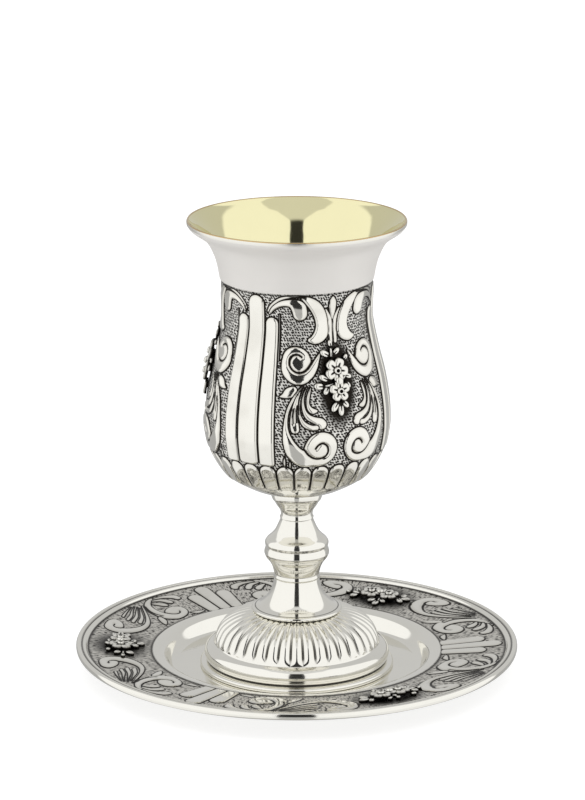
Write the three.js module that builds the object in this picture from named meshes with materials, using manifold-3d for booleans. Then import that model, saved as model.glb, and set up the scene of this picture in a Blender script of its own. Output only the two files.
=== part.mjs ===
// A silver kiddush cup standing on its matching saucer: a hollow beaker with chased flutes
// and scrolls, a cast baluster stem, a gadrooned foot, a chased saucer and cast flower sprays.
// Millimetres, +Z up. The origin is the centre of the saucer's underside and the front is -Y.
import * as THREE from 'three';
import { mergeVertices } from 'three/addons/utils/BufferGeometryUtils.js';
import Module from 'manifold-3d';

const wasm = await Module();
wasm.setup();

// Driving dimensions
const saucerRadius = 67.9;
const saucerSheet = 1.0;
const saucerWellRadius = 38;
const saucerFacets = 32;
const saucerBandInner = [44.7, 5.9];
const saucerBandOuter = [63.5, 7.65];
const saucerLipHeight = 8.8;
const cupBottom = saucerSheet;
const footTop = 28.75;
const stemTop = 57;
const cupHeight = 141;
const rimRadius = 33.1;
const mouthRadius = 31.6;
const bellyRadius = 28;
const throatRadius = 22.4;
const bowlWall = 0.8;
const footRadius = 29.8;
const stemBore = 3;

// Ornament: three panels round the bowl and three flute groups between them
const sectorCount = 3;
const panelAngle = 28;
const fluteAngle = panelAngle - 60;
const lobeCount = 30;
const bowlFacets = 28;
const hollowFacets = 16;
const lobeRelief = 0.5;
const gadroonCount = 40;
const gadroonRelief = 0.9;
const scrollRelief = 0.8;
const fluteRelief = 0.9;
const soldering = 0.3;
const overlap = 0.2;
const sink = 0.4;
const saucerFluteAngle = 0;
const saucerSprayAngle = 60;

// Colours of the finishes
const silverColour = '#d9d6cf';
const agedSilverColour = '#9b9890';

const radians = THREE.MathUtils.degToRad;

function finish(colour, roughness) {
  return new THREE.MeshStandardMaterial({ color: colour, roughness, metalness: 1 });
}

// Solids: between three.js geometry and solids that can be joined and cut
function solidOf(geometry) {
  const bare = geometry.clone();
  bare.deleteAttribute('normal');
  bare.deleteAttribute('uv');
  const merged = mergeVertices(bare, 1e-4);
  const vertProperties = new Float32Array(merged.attributes.position.array);
  const triVerts = new Uint32Array(merged.index.array);
  return new wasm.Manifold(new wasm.Mesh({ numProp: 3, vertProperties, triVerts }));
}

function geometryOf(solid) {
  const mesh = solid.getMesh();
  const geometry = new THREE.BufferGeometry();
  geometry.setAttribute('position', new THREE.BufferAttribute(mesh.vertProperties, 3));
  geometry.setIndex(new THREE.BufferAttribute(mesh.triVerts, 1));
  geometry.computeVertexNormals();
  return geometry;
}

function solidOfFaces(points, faces) {
  const geometry = new THREE.BufferGeometry();
  geometry.setAttribute('position', new THREE.Float32BufferAttribute(points.flat(), 3));
  geometry.setIndex(faces.flat());
  return solidOf(geometry);
}

// A lathe about +Z of [radius, height] pairs that start and end on the axis, bottom first
function turned(profile, segments, shape = (radius) => radius) {
  const outline = profile.map(([radius, height]) => new THREE.Vector2(radius, height));
  const lathe = new THREE.LatheGeometry(outline, segments);
  lathe.rotateX(Math.PI / 2);
  const place = lathe.attributes.position;
  for (let i = 0; i < place.count; i += 1) {
    const [x, y, z] = [place.getX(i), place.getY(i), place.getZ(i)];
    const angle = Math.atan2(y, x);
    const radius = shape(Math.hypot(x, y), z, angle);
    place.setXYZ(i, radius * Math.cos(angle), radius * Math.sin(angle), z);
  }
  return solidOf(lathe);
}

// Profiles
const bowlCurve = new THREE.SplineCurve([
  [17, 59.8], [23.6, 65.5], [27.2, 73.5], [bellyRadius, 80], [27.2, 90], [25.4, 98],
  [23.4, 106], [throatRadius, 114], [23.2, 123.5], [24.4, 129], [26.6, 133.8], [30.4, 137.2],
  [rimRadius, 139.8],
].map(([radius, height]) => new THREE.Vector2(radius, height)));

// The radius at a height on a line through points that rise
function radiusAt(points, height) {
  const above = points.findIndex((point) => point.y >= height);
  const last = above < 0 ? points.length - 1 : Math.max(above, 1);
  const [low, high] = [points[last - 1], points[last]];
  return low.x + (high.x - low.x) * (height - low.y) / (high.y - low.y);
}

// The wall runs straight between these heights, so its facets are few and what lies on it fits
const lobeBottom = 62.6;
const lobeTop = 70.5;
const panelRows = [78.5, 95, 113];
const bowlRows = [lobeTop, ...panelRows, 122.7, 129, 133.8, 137.2, 139.8];
const bowlFine = bowlCurve.getPoints(240);
const bowlLine = bowlRows.map((height) => new THREE.Vector2(radiusAt(bowlFine, height), height));

function bowlRadius(height) {
  return radiusAt(bowlLine, height);
}

// The round bottom carries a ring of lobes under a plain seat
function bowlBottom() {
  const lobed = (radius, height, angle) => {
    const inRow = height > lobeBottom + 1 && height < lobeTop - 1;
    const fromPanel = angle + Math.PI / 2 - radians(panelAngle);
    return inRow ? radius + lobeRelief * Math.cos(lobeCount * fromPanel) : radius;
  };
  const rows = [lobeBottom, (lobeBottom + lobeTop) / 2, lobeTop + overlap];
  const wall = rows.map((height) => [radiusAt(bowlFine, height), height]);
  const seat = [[0, stemTop], [8, stemTop], [15.5, stemTop + 1.7]];
  return turned([...seat, ...wall, [0, lobeTop + overlap]], 2 * lobeCount, lobed);
}

function bowlBody() {
  const wall = bowlLine.map((point) => point.toArray());
  return turned([[0, lobeTop], ...wall, [rimRadius - 0.4, cupHeight], [0, cupHeight]], bowlFacets);
}

// The hollow follows the outer line at the wall's thickness, down to a round bottom
function bowlInner() {
  const wall = [68, 79, 95, 113, 124, 131, 135.5].map((height) => {
    const slope = radiusAt(bowlFine, height + 0.5) - radiusAt(bowlFine, height - 0.5);
    const normal = Math.hypot(1, slope);
    return [radiusAt(bowlFine, height) - bowlWall / normal, height + bowlWall * slope / normal];
  });
  const floor = stemTop + bowlWall;
  const round = [[0, floor], [8, floor], [15.5, floor + 1.9], [20.6, floor + 5.4]];
  const mouth = [[mouthRadius, cupHeight - 0.8], [mouthRadius, cupHeight + 1], [0, cupHeight + 1]];
  return turned([...round, ...wall, ...mouth], hollowFacets);
}

// Surfaces that carry ornament: each turns a place (across, along, lift) into a point
function bowlSurface(centreAngle, side) {
  return (across, height, lift) => {
    const radius = bowlRadius(height);
    const slope = (bowlRadius(height + 0.2) - bowlRadius(height - 0.2)) / 0.4;
    const normal = Math.hypot(1, slope);
    const angle = radians(centreAngle) + side * across / radius;
    const reach = radius + lift / normal;
    const level = height - lift * slope / normal;
    return [reach * Math.sin(angle), -reach * Math.cos(angle), level];
  };
}

const bandSlope = (saucerBandOuter[1] - saucerBandInner[1]) / (saucerBandOuter[0] - saucerBandInner[0]);

// On the saucer, across is an angle in degrees and along is the radius
function saucerSurface(centreAngle, side) {
  return (across, radius, lift) => {
    const angle = radians(centreAngle + side * across);
    const level = saucerBandInner[1] + (radius - saucerBandInner[0]) * bandSlope + lift;
    return [radius * Math.cos(angle), radius * Math.sin(angle), level];
  };
}

// Strokes: tapered ridges that follow a line of [across, along, half width] stations
function spiral(centre, radii, degrees, widths, steps) {
  return Array.from({ length: steps + 1 }, (_, i) => {
    const part = i / steps;
    const angle = radians(THREE.MathUtils.lerp(degrees[0], degrees[1], part));
    const radius = THREE.MathUtils.lerp(radii[0], radii[1], part);
    const width = THREE.MathUtils.lerp(widths[0], widths[1], part);
    return [centre[0] + radius * Math.cos(angle), centre[1] + radius * Math.sin(angle), width];
  });
}

function smooth(stations, steps) {
  const curve = new THREE.CatmullRomCurve3(stations.map((station) => new THREE.Vector3(...station)));
  return curve.getPoints(steps).map((point) => point.toArray());
}

// A ridge with a triangular section, its edges sunk into the wall; stretch turns one unit
// across into millimetres
function ridge(stations, surface, relief, stretch = 1) {
  const points = [];
  stations.forEach(([across, along, width], i) => {
    const before = stations[Math.max(i - 1, 0)];
    const after = stations[Math.min(i + 1, stations.length - 1)];
    const run = new THREE.Vector2((after[0] - before[0]) * stretch, after[1] - before[1]).normalize();
    const step = [-run.y * width / stretch, run.x * width];
    const crest = relief * Math.min(1, 0.35 + width / 2);
    points.push(surface(across + step[0], along + step[1], -sink));
    points.push(surface(across, along, crest));
    points.push(surface(across - step[0], along - step[1], -sink));
  });
  const faces = [[0, 1, 2]];
  for (let i = 0; i < stations.length - 1; i += 1) {
    for (let k = 0; k < 3; k += 1) {
      const [a, b] = [3 * i + k, 3 * i + (k + 1) % 3];
      faces.push([a, a + 3, b], [b, a + 3, b + 3]);
    }
  }
  const last = points.length - 3;
  faces.push([last + 2, last + 1, last]);
  return outward(points, faces);
}

// A mirrored stroke has its faces turned the other way round
function outward(points, faces) {
  const volume = faces.reduce((sum, [a, b, c]) => {
    const [p, q, r] = [a, b, c].map((i) => new THREE.Vector3(...points[i]));
    return sum + p.dot(q.cross(r));
  }, 0);
  const turnedFaces = volume > 0 ? faces : faces.map(([a, b, c]) => [a, c, b]);
  return solidOfFaces(points, turnedFaces);
}

// Ornament of the bowl, in one half of a panel: across is measured from the panel's centre
// line and runs in millimetres along the wall
const bowlStrokes = [
  [[6.6, 109.3, 1], [4, 111, 2.2], [4.2, 116.8, 1.9], [9.4, 122, 0.5]],
  [[9.9, 116.2, 1.6], [11.2, 120, 1.8], [18.4, 118.4, 0.6]],
  [...spiral([12.4, 102.7], [2.2, 4.4], [200, -100], [1.2, 1.8], 4), [8.6, 99.2, 1.6], [5.8, 102.3, 1.1]],
  [
    ...spiral([6.6, 76.8], [1.6, 4.3], [-60, 250], [1.2, 1.5], 4),
    ...smooth([[8, 72.7, 1.4], [13.4, 75.4, 2.3], [16.8, 82, 1.2], [10.8, 96.2, 0.3]], 3),
  ],
  [[6.2, 84.5, 1.7], [11, 87.4, 1.4], [9.6, 95.6, 0.3]],
];

function bowlHalfPanel(centreAngle, side) {
  const surface = bowlSurface(centreAngle, side);
  return bowlStrokes.map((stations) => ridge(stations, surface, scrollRelief));
}

// Flutes: raised ribs of a constant angle, round at the top
const fluteRibs = [
  { offset: 0, half: 7, top: 122.2 },
  { offset: -12.8, half: 5.2, top: 115.6 },
  { offset: 12.8, half: 5.2, top: 115.6 },
];
const fluteFoot = 71.5;

function flute(centreAngle, { offset, half, top }) {
  const surface = bowlSurface(centreAngle, 1);
  const shoulder = top - 3;
  const heights = [fluteFoot, ...panelRows.slice(0, 2), shoulder, top - 0.8];
  const points = [];
  heights.forEach((height) => {
    const round = height > shoulder ? 0.5 : 1;
    [[-1, -sink], [-0.55, fluteRelief], [0.55, fluteRelief], [1, -sink]].forEach(([place, lift]) => {
      const radius = bowlRadius(height);
      const across = radians(offset + place * half * round) * radius;
      const inner = Math.abs(place) < 1 ? lift * round : lift;
      points.push(surface(across, height, inner));
    });
  });
  const faces = [[0, 1, 2], [0, 2, 3]];
  for (let i = 0; i < heights.length - 1; i += 1) {
    for (let k = 0; k < 4; k += 1) {
      const [a, b] = [4 * i + k, 4 * i + (k + 1) % 4];
      faces.push([a, a + 4, b], [b, a + 4, b + 4]);
    }
  }
  const last = points.length - 4;
  faces.push([last + 2, last + 1, last], [last + 3, last + 2, last]);
  return outward(points, faces);
}

function sectors(make) {
  return Array.from({ length: sectorCount }, (_, i) => make(360 * i / sectorCount, i)).flat();
}

function bowl() {
  const flutes = sectors((turn) => fluteRibs.map((rib) => flute(fluteAngle + turn, rib)));
  const panels = sectors((turn) => [1, -1].flatMap((side) => bowlHalfPanel(panelAngle + turn, side)));
  const raised = wasm.Manifold.union([bowlBottom(), bowlBody(), ...flutes, ...panels]);
  return raised.subtract(bowlInner());
}

// Stem: one casting from the foot to the seat of the bowl
function stem() {
  const knop = [
    [6.9, 30], [7.5, 32.5], [8.4, 34.4], [9.9, 36.9], [9.65, 38.6], [9.75, 40.4], [8.3, 42], [6.7, 43.7],
    [5.2, 46.9],
  ];
  const collar = [[5.3, 48], [4.9, 49.2], [5.5, 51], [6.9, 53.4], [7.9, 55], [7.9, stemTop]];
  const profile = [[0, footTop], [6.9, footTop], ...knop, ...collar, [0, stemTop]];
  const [low, high] = [footTop - 1, stemTop + 1];
  const bore = turned([[0, low], [stemBore, low], [stemBore, high], [0, high]], 8);
  return turned(profile, 16).subtract(bore);
}

// Foot: a bell on a gadrooned dome, over a torus and a flat base flange
const domeTop = 18.2;
const domeBottom = 8.2;

function bell() {
  const flare = [[13.5, 18.4], [13.5, 19.6], [11.6, 20.2], [9.2, 22], [7.6, 25], [6.9, footTop]];
  return turned([[0, 12], [11, 12], [11, 18.4], ...flare, [0, footTop]], 18);
}

function gadroonedDome() {
  const arc = [[25.1, domeBottom], [24, 12], [19.8, 16], [12.8, domeTop]];
  const tongues = (radius, height, angle) => {
    const reach = radius > 13 && height > domeBottom - 0.1 ? 1 : 0;
    return radius - gadroonRelief * reach * 0.5 * (1 - Math.cos(gadroonCount * (angle + Math.PI / 2)));
  };
  const seat = [[0, domeBottom - 1], [25, domeBottom - 1]];
  return turned([...seat, ...arc, [0, domeTop]], 2 * gadroonCount, tongues);
}

function footBase() {
  const flange = [[footRadius, cupBottom], [footRadius, 2.8], [27.4, 3.1]];
  const torus = [[28, 4.8], [27.1, 6.7], [25.2, 7.2]];
  return turned([[0, cupBottom], ...flange, ...torus, [0, 7.2]], saucerFacets);
}

function foot() {
  const hollow = [
    [0, cupBottom - 1], [26.8, cupBottom - 1], [23.6, 7.6], [22, 12], [17.6, 15.2], [10.4, 17], [5.8, 22],
    [4.8, footTop + 1], [0, footTop + 1],
  ];
  const shell = wasm.Manifold.union([footBase(), gadroonedDome(), bell()]);
  return shell.subtract(turned(hollow, 14));
}

// Saucer: a flat well, a sloping chased band and a moulded rim
const saucerStrokes = [
  [
    ...spiral([19, 50], [2, 3.6], [160, -80], [1.1, 1.4], 3),
    ...smooth([[23.4, 47.4, 1.3], [25.6, 53, 1.6], [21, 61, 1.5], [12.5, 61.6, 1.3], [5.6, 58.6, 0.5]], 3),
  ],
  [
    ...spiral([42.6, 59.8], [1.6, 3], [-60, 160], [0.9, 1.2], 2),
    ...smooth([[46.8, 58.4, 1.1], [43.5, 52, 1.4], [35, 50, 1.5], [27.5, 56.5, 0.8]], 3),
  ],
];
const saucerStretch = radians(54);
const saucerRibs = [
  { offset: 0, half: 2.5, top: 62.3 },
  { offset: -5.4, half: 2.5, top: 57.6 },
  { offset: 5.4, half: 2.5, top: 57.6 },
];

function saucerRib(centreAngle, { offset, half, top }) {
  const stations = [[0, 45, 1], [0, top - 2, 1], [0, top, 0.4]].map(([, radius, share]) => {
    return [offset, radius, share * radians(half) * radius];
  });
  return ridge(stations, saucerSurface(centreAngle, 1), fluteRelief, radians(60));
}

function saucerOrnament() {
  const ribs = sectors((turn) => saucerRibs.map((rib) => saucerRib(saucerFluteAngle + turn, rib)));
  const scrolls = sectors((turn) => [1, -1].flatMap((side) => {
    const surface = saucerSurface(saucerFluteAngle + turn, side);
    return saucerStrokes.map((stations) => ridge(stations, surface, scrollRelief, saucerStretch));
  }));
  return [...ribs, ...scrolls];
}

function saucer() {
  const top = [
    saucerBandOuter, [64.8, 8.4], [66, 7.9], [67.2, saucerLipHeight], [saucerRadius, 8.2], [67.3, 6.4],
  ].reverse();
  const well = [[40.3, 5.3], [saucerWellRadius, saucerSheet], [0, saucerSheet]];
  const under = [[0, 0], [saucerWellRadius + 0.5, 0], [41, 4.4], saucerBandInner, saucerBandOuter].map(
    ([radius, height], i) => [radius, i > 2 ? height - saucerSheet : height],
  );
  const dish = turned([...under, ...top, saucerBandInner, ...well], saucerFacets);
  return wasm.Manifold.union([dish, ...saucerOrnament()]);
}

// Flower sprays: five-petalled flowers, a bud and pointed leaves on a small back plate, made
// lying flat, with the stalk along +Y and the wall below them
const flowers = [[-0.4, 2.9, 3.6], [-0.2, -3.2, 3.4]];
const leaves = [
  [-2, 7.3, 116, 6.2], [0.3, 7.9, 82, 6], [-4.6, 0.6, 165, 5.4], [-4.4, -1.8, 195, 5.2], [3.1, 0.2, 0, 4],
  [-2.6, -7.6, 245, 5.4], [0.4, -8.2, 280, 5.4],
];
const sprayHeight = 3;

function flower([x, y, radius]) {
  const petals = 5;
  const points = [[x, y, sprayHeight - 0.4], [x, y, 0.6]];
  const faces = [];
  for (let i = 0; i < 2 * petals; i += 1) {
    const angle = Math.PI * i / petals + Math.PI / 2;
    const reach = i % 2 ? radius * 0.62 : radius;
    const level = i % 2 ? 1.3 : 2.2;
    points.push([x + reach * Math.cos(angle), y + reach * Math.sin(angle), level]);
    const [a, b] = [2 + i, 2 + (i + 1) % (2 * petals)];
    faces.push([0, a, b], [1, b, a]);
  }
  return outward(points, faces);
}

function leaf([x, y, degrees, length]) {
  const shape = new THREE.OctahedronGeometry(1);
  shape.scale(length / 2, length / 5.4, 0.8);
  shape.rotateZ(radians(degrees));
  shape.translate(x, y, 1.5);
  return solidOf(shape);
}

function spray() {
  const plate = new THREE.CylinderGeometry(1, 1, 1.8, 6);
  plate.rotateX(Math.PI / 2);
  plate.scale(2.6, 8, 1);
  plate.translate(-0.3, 0, 0.5);
  return wasm.Manifold.union([solidOf(plate), ...flowers.map(flower), ...leaves.map(leaf)]);
}

function placed(solid, matrix) {
  const geometry = geometryOf(solid);
  geometry.applyMatrix4(matrix);
  return solidOf(geometry);
}

// The spray lies on the bowl's wall, its back cut to the wall's curve
const sprayLevel = 97;

function bowlSpray(turn) {
  const slope = (bowlRadius(sprayLevel + 8) - bowlRadius(sprayLevel - 8)) / 16;
  const matrix = new THREE.Matrix4().makeRotationZ(radians(panelAngle + turn))
    .multiply(new THREE.Matrix4().makeTranslation(0, -bowlRadius(sprayLevel), sprayLevel))
    .multiply(new THREE.Matrix4().makeRotationX(Math.PI / 2 + Math.atan(slope)));
  const wall = panelRows.map((height) => [bowlRadius(height) + soldering, height]);
  const core = turned([[0, panelRows[0]], ...wall, [0, panelRows.at(-1)]], bowlFacets);
  return placed(spray(), matrix).subtract(core);
}

const saucerSprayRadius = 54.5;

// On the saucer the spray lies across the band and stands just clear of it
function saucerSpray(turn) {
  const matrix = new THREE.Matrix4().makeRotationZ(radians(saucerSprayAngle + turn))
    .multiply(new THREE.Matrix4().makeTranslation(...saucerSurface(0, 1)(0, saucerSprayRadius, 1.1)))
    .multiply(new THREE.Matrix4().makeRotationY(-Math.atan(bandSlope)));
  return placed(spray(), matrix);
}

// The whole object
const cup = new THREE.Group();

function add(name, solid, material) {
  const mesh = new THREE.Mesh(geometryOf(solid), material);
  mesh.name = name;
  cup.add(mesh);
}

add('bowl', bowl(), finish(silverColour, 0.16));
add('stem', stem(), finish(silverColour, 0.12));
add('foot', foot(), finish(silverColour, 0.14));
add('saucer', saucer(), finish(silverColour, 0.16));
sectors((turn, i) => add(`bowl_spray_${i + 1}`, bowlSpray(turn), finish(agedSilverColour, 0.3)));
sectors((turn, i) => add(`saucer_spray_${i + 1}`, saucerSpray(turn), finish(agedSilverColour, 0.3)));

export default cup;
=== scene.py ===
# A silver kiddush cup standing on its matching saucer. The CAD frame gives every place;
# here each piece gets its chased or cast relief as a fine mesh, and its own finish.
# Lengths on the cup and saucer are in millimetres, and turned into metres where a mesh is
# made; the finishes, studio and camera are in metres. Angles round the axis are in degrees,
# counted from the front, -Y, towards +X.
import math

import bpy
import numpy as np
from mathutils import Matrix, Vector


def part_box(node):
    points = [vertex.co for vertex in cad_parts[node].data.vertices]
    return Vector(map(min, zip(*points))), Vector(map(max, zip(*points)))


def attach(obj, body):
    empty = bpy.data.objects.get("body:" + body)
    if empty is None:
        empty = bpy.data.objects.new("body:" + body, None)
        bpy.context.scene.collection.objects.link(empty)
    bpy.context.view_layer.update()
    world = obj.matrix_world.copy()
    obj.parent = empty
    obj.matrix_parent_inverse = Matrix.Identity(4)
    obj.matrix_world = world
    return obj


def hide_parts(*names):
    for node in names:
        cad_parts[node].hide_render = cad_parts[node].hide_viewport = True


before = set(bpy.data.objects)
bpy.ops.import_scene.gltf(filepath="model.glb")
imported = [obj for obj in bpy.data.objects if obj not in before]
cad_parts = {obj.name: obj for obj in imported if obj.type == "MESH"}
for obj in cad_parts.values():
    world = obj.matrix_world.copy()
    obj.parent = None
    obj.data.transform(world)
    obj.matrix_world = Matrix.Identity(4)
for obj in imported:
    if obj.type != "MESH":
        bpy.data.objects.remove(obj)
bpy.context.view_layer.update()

MM = 0.001


def heights(node):
    """A node's lowest and highest level in the frame, to a hundredth."""
    return [round(corner[2] / MM, 2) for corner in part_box(node)]


# The ornament repeats three times round the cup and round the saucer
SECTORS = 3
SECTOR = 360 / SECTORS
HALF_SECTOR = SECTOR / 2
PANEL_ANGLE = 28.0
FLUTE_HALF_ANGLE = 18.0
SAUCER_FLUTE_ANGLE = 90.0
LOBES = 30
GADROONS = 40
BOWL_WALL = 0.8
# The matted ground lies this far below the plain surface
GROUND = -0.3
# Rings with relief have this many times the points of plain ones
FINE = 4


# Curves
def spline(points, steps):
    """A Catmull-Rom curve through points, with the same number of steps between each two."""
    keys = np.array(points, float)
    ends = np.vstack([2 * keys[0] - keys[1], keys, 2 * keys[-1] - keys[-2]])
    t = np.linspace(0, 1, steps, endpoint=False)[:, None]
    runs = []
    for a, b, c, d in zip(ends[:-3], ends[1:-2], ends[2:-1], ends[3:]):
        runs.append(0.5 * (2 * b + (c - a) * t + (2 * a - 5 * b + 4 * c - d) * t**2
                           + (3 * b - a - 3 * c + d) * t**3))
    return np.vstack(runs + [keys[-1:]])


def even(profile, step):
    """Points about a step apart along a profile."""
    length = np.concatenate([[0], np.cumsum(np.hypot(*np.diff(profile, axis=0).T))])
    at = np.linspace(0, length[-1], max(2, int(round(length[-1] / step)) + 1))
    return np.stack([np.interp(at, length, profile[:, k]) for k in (0, 1)], 1)


def profile_normals(profile):
    """Unit vectors at right angles to a profile, outwards where it runs upwards."""
    run = np.gradient(profile, axis=0)
    normal = np.stack([run[:, 1], -run[:, 0]], 1)
    return normal / np.linalg.norm(normal, axis=1, keepdims=True)


def smoothstep(low, high, value):
    t = np.clip((value - low) / (high - low), 0, 1)
    return t * t * (3 - 2 * t)


def near(distance, reach):
    """1 at no distance, falling to about a third at reach."""
    return np.exp(-(distance / reach) ** 2)


def turned_ring(radius, height, angles):
    """Points round the axis."""
    theta = np.radians(angles)
    radius = np.broadcast_to(radius, theta.shape)
    height = np.broadcast_to(height, theta.shape)
    return np.stack([radius * np.sin(theta), -radius * np.cos(theta), height], 1)


def round_sectors(half):
    """Repeats values of half a sector round the axis, each sector with its mirrored half."""
    sector = np.concatenate([half, half[..., -2:0:-1]], axis=-1)
    return np.concatenate([sector] * SECTORS, axis=-1)


# Chased pads: each is a tapered stroke of [across, along, half width] stations, raised
# between dark lines. Pads that touch are kept in different layers, so that a line between
# them stays sharp.
LAYERS = 3
# A point's depth inside a pad is measured up to this, and below 0 it is outside
FAR = 3.0
# Guards against empty strokes and division by nothing
OUTERMOST = -1e9
SHORTEST = 1e-9
THINNEST = 1e-3
# How far a pad's middle stands above its edges, as a share of its height
CROWN = 0.1
EDGE_START = -0.1
# A rib's foot is rounded over this share of its half width, and this many times as fast
RIB_FOOT = 0.25
RIB_FOOT_PACE = 3


class Pads:
    """The pads on half a sector, at columns of given angles and rows of given radii."""

    def __init__(self, angles, radii, along, relief, edge):
        self.across = np.radians(angles)[None, :] * radii[:, None]
        self.along = np.broadcast_to(along[:, None], self.across.shape)
        self.per_degree = radii[:, None] * math.pi / 180
        self.relief = relief
        self.edge = edge
        self.layers = np.full((LAYERS,) + self.across.shape, -FAR)
        self.rise = np.zeros(self.across.shape)

    def add(self, layer, height, inside, crown):
        """Lays a pad on its layer and cuts it out of the other layers."""
        inside = np.clip(inside, -FAR, FAR)
        for k in range(LAYERS):
            if k != layer:
                self.layers[k] = np.minimum(self.layers[k], -inside)
        self.layers[layer] = np.maximum(self.layers[layer], inside)
        swell = height * (1 + CROWN * np.clip(1 - crown**2, 0, 1))
        self.rise = np.where(inside > 0, swell, self.rise)

    def to_segment(self, start, end):
        """Each point's distance from a segment, and where along it the nearest place lies."""
        (ax, ay), (bx, by) = start[:2], end[:2]
        dx, dy = bx - ax, by - ay
        t = ((self.across - ax) * dx + (self.along - ay) * dy) / max(dx * dx + dy * dy, SHORTEST)
        t = np.clip(t, 0, 1)
        return np.hypot(self.across - ax - t * dx, self.along - ay - t * dy), t

    def stroke(self, layer, height, stations):
        """Lays a tapered stroke."""
        best = np.full(self.across.shape, OUTERMOST)
        part = np.ones(self.across.shape)
        for start, end in zip(stations[:-1], stations[1:]):
            distance, t = self.to_segment(start, end)
            width = start[2] + (end[2] - start[2]) * t
            inside = width - distance
            closer = inside > best
            best = np.where(closer, inside, best)
            part = np.where(closer, distance / np.maximum(width, THINNEST), part)
        self.add(layer, height, best, part)

    def groove(self, half, stations):
        """Cuts a dark line into the pads that it crosses."""
        distance = np.full(self.across.shape, FAR)
        for start, end in zip(stations[:-1], stations[1:]):
            distance = np.minimum(distance, self.to_segment(start, end)[0])
        self.layers = np.minimum(self.layers, np.maximum(distance - half, -half))

    def rib(self, layer, height, angle, half_angle, low, high):
        """Lays a rib that keeps its angle, with a round top and a slightly rounded foot."""
        side = self.across - angle * self.per_degree
        half = half_angle * self.per_degree
        top = np.maximum(self.along - (high - half), 0)
        foot = np.maximum(low + RIB_FOOT * half - self.along, 0) * RIB_FOOT_PACE
        distance = np.sqrt(side**2 + top**2 + foot**2)
        self.add(layer, height, half - distance, distance / half)

    def draw(self, strokes, grooves, ribs):
        """Lays the strokes, cuts the grooves into them, and lays the ribs."""
        for layer, height, stations in strokes:
            self.stroke(layer, height, stations)
        for half, stations in grooves:
            self.groove(half, stations)
        for layer, height, angle, half_angle, low, high in ribs:
            self.rib(layer, height, angle, half_angle, low, high)

    def height(self):
        """The pads' height above the ground, with edges rounded down to the lines."""
        return self.relief * self.rise * smoothstep(EDGE_START, self.edge, self.layers.max(axis=0))


# Meshes of rings of points
def ring_faces(low, low_count, high, high_count):
    """Faces between two rings, given by their first point and count. The counts are equal,
    or one is FINE times the other, or one is a single point on the axis."""
    if low_count == high_count:
        turns = [(i, (i + 1) % low_count) for i in range(low_count)]
        return [(low + a, low + b, high + b, high + a) for a, b in turns]
    if high_count == 1:
        return [(low + i, low + (i + 1) % low_count, high) for i in range(low_count)]
    if low_count == 1:
        return [(low, high + (i + 1) % high_count, high + i) for i in range(high_count)]
    faces = []
    fine, coarse = (low, high) if low_count > high_count else (high, low)
    fine_count, coarse_count = max(low_count, high_count), min(low_count, high_count)
    for i in range(coarse_count):
        ends = (coarse + i, coarse + (i + 1) % coarse_count)
        edge = [fine + (FINE * i + k) % fine_count for k in range(FINE + 1)]
        fan = [(edge[k], edge[k + 1], ends[0 if k < FINE // 2 else 1]) for k in range(FINE)]
        fan.append((ends[0], edge[FINE // 2], ends[1]))
        faces += fan if low_count > high_count else [face[::-1] for face in fan]
    return faces


def gaps(rings, first=0):
    """A list of faces for each gap between neighbouring rings, with points counted from first."""
    found = []
    for below, above in zip(rings[:-1], rings[1:]):
        found.append(ring_faces(first, len(below), first + len(below), len(above)))
        first += len(below)
    return found


def mesh_piece(name, points, faces, bands, values):
    """A smooth mesh, with a material index for each face and values for each point."""
    mesh = bpy.data.meshes.new(name)
    mesh.from_pydata((points * MM).tolist(), [], faces)
    mesh.polygons.foreach_set("material_index", bands)
    mesh.polygons.foreach_set("use_smooth", [True] * len(faces))
    for key, value in values.items():
        layer = mesh.attributes.new(key, "FLOAT", "POINT")
        layer.data.foreach_set("value", value.astype(np.float32))
    mesh.validate()
    mesh.update()
    piece = bpy.data.objects.new(name, mesh)
    bpy.context.scene.collection.objects.link(piece)
    return piece


# What the chased finish reads at each point: its depth inside the pads of each layer, 1
# where there is ornament, and 1 where the ground is blackened
PAD_KEYS = ("pad_a", "pad_b", "pad_c")
CHASED_KEYS = PAD_KEYS + ("decor", "halo")


class Skin:
    """One closed mesh of rings that follow an outline, from the axis round and back to it."""

    def __init__(self, *keys):
        self.rings = []
        self.bands = []
        self.values = {key: [] for key in keys}

    def add(self, ring, band=0, **values):
        """band is the material index of the faces between this ring and the next."""
        self.rings.append(ring)
        self.bands.append(band)
        for key, listed in self.values.items():
            value = values.get(key, -FAR if key in PAD_KEYS else 0.0)
            listed.append(np.broadcast_to(value, (len(ring),)).astype(float))

    def point(self, height, band=0):
        """Closes the skin on the axis."""
        self.add(np.array([[0, 0, height]]), band)

    def turn(self, profile, angles, band=0):
        """Adds a plain ring for each point of a profile."""
        for radius, height in profile:
            self.add(turned_ring(radius, height, angles), band)

    def piece(self, name):
        faces, bands = [], []
        for band, gap in zip(self.bands, gaps(self.rings)):
            faces += gap
            bands += [band] * len(gap)
        values = {key: np.concatenate(listed) for key, listed in self.values.items()}
        return mesh_piece(name, np.vstack(self.rings), faces, bands, values)


# Bowl: radius and height of its outside, from the axis to the rim
STEM_LOW, STEM_HIGH = heights("stem")
BOWL_OUTER = [
    (0.0, STEM_HIGH), (7.9, STEM_HIGH), (12.5, 57.7), (17.0, 59.8), (21.0, 62.3), (23.6, 65.5),
    (25.6, 69.0), (27.0, 72.5), (27.8, 77.0), (28.0, 80.0), (27.7, 86.0), (26.4, 94.0), (24.4, 102.0),
    (22.7, 110.0), (22.4, 114.0), (22.75, 120.0), (23.65, 125.8), (24.4, 129.0), (25.25, 131.2),
    (26.25, 133.3), (27.35, 134.9), (28.8, 136.2), (30.4, 137.3), (32.0, 138.4), (33.0, 139.7),
]
OUTLINE_STEPS = 16
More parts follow.
